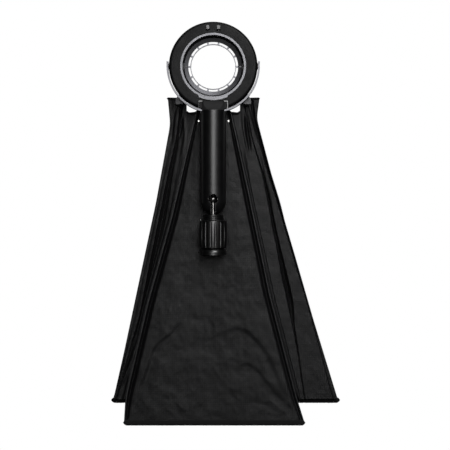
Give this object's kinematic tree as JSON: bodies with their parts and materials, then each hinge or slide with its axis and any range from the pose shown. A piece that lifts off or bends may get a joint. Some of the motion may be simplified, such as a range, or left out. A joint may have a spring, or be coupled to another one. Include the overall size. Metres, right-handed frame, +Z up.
{
  "type": "collapsible snoot",
  "caption": "Round light-shaping head with a slotted lamp ring, held in a tilting yoke on a hand grip, with a collapsible tapered fabric hood hanging behind it.",
  "frame": {"origin": "on the lamp bore's axis, at the bore's front edge", "axes": "+Z up along the hand grip, +Y from the lamp side to the hood side, +X to the right of someone facing the lamp side"},
  "size_m": [0.39, 0.073, 0.685],
  "materials": {
    "grip_paint": "black, fine moulded texture",
    "housing": "black, fine texture",
    "black_plastic": "plain black",
    "grey_plastic": "light grey",
    "knob_plastic": "black, satin",
    "silver": "brushed, clear anodised",
    "adapter_grey": "bead blasted, anodised",
    "steel": "bright",
    "dark_steel": "blackened",
    "brass": "sintered",
    "ripstop": "coated black ripstop nylon, slight shine",
    "binding": "woven black tape",
    "loop_tape": "fuzzy black loop tape"
  },
  "bodies": {
    "handle": {"handle_body": "grip_paint", "handle_foot": "grip_paint", "foot_screws": "steel", "foot_pin": "steel", "yoke_band": "silver", "yoke_slot_filler": "black_plastic", "yoke_screws": "steel", "tilt_screws": "silver", "tilt_nuts": "steel", "tilt_washers": "black_plastic"},
    "ring_head": {"front_shell": "housing", "rear_shell": "housing", "shell_screws": "steel", "hook_screws": "dark_steel", "lip_ring": "silver", "slip_ring": "black_plastic", "tilt_bushes": "brass", "hood_hooks": "dark_steel", "catch_spring_left": "steel", "catch_spring_right": "steel"},
    "catch_l": {"catch_left": "grey_plastic"},
    "catch_r": {"catch_right": "grey_plastic"},
    "adapter": {"adapter_ring": "adapter_grey", "adapter_screws": "dark_steel"},
    "bolt": {"swing_bolt": "steel", "rod_stop": "steel"},
    "collar": {"pressure_cone": "knob_plastic", "thrust_washer": "steel"},
    "knob": {"knob_core": "silver", "knob_grip": "knob_plastic", "knob_end_ring": "knob_plastic", "shoulder_ball": "steel"},
    "hood": {"front_panel": "ripstop", "rear_panel": "ripstop", "left_gusset": "ripstop", "right_gusset": "ripstop", "front_hem": "loop_tape", "rear_hem": "loop_tape", "front_binding": "binding", "rear_binding": "binding", "corner_rods": "steel", "seam_rivets": "steel", "hang_loops": "binding"}
  },
  "joints": [
    {"name": "ring_tilt", "type": "hinge", "parent": "handle", "child": "ring_head", "pos_m": [0, -0.006, 0], "axis": [1, 0, 0], "range_deg": [0, 90]},
    {"name": "adapter_turn", "type": "hinge", "parent": "ring_head", "child": "adapter", "pos_m": [0, 0, 0], "axis": [0, 1, 0], "continuous": true},
    {"name": "catch_left_push", "type": "slide", "parent": "ring_head", "child": "catch_l", "axis": [0, 0, -1], "range_m": [0, 0.0029], "stiffness_N_per_m": 800, "springref_m": -0.001, "deforming": ["catch_spring_left"]},
    {"name": "catch_right_push", "type": "slide", "parent": "ring_head", "child": "catch_r", "axis": [0, 0, -1], "range_m": [0, 0.0029], "stiffness_N_per_m": 800, "springref_m": -0.001, "deforming": ["catch_spring_right"]},
    {"name": "bolt_swing", "type": "hinge", "parent": "handle", "child": "bolt", "pos_m": [0, -0.006, -0.225], "axis": [1, 0, 0], "range_deg": [-90, 0]},
    {"name": "collar_slide", "type": "slide", "parent": "bolt", "child": "collar", "axis": [0, 0, -1], "range_m": [0, 0.006]},
    {"name": "knob_turn", "type": "hinge", "parent": "collar", "child": "knob", "pos_m": [0, -0.006, -0.29], "axis": [0, 0, 1], "range_deg": [0, 2160]},
    {"name": "hood_swing", "type": "hinge", "parent": "ring_head", "child": "hood", "pos_m": [0, 0.018, -0.06], "axis": [1, 0, 0], "range_deg": [0, 90]}
  ],
  "couplings": [
    {"joint": "knob_turn", "follows": "collar_slide", "rad_per_m": 6283.2}
  ]
}
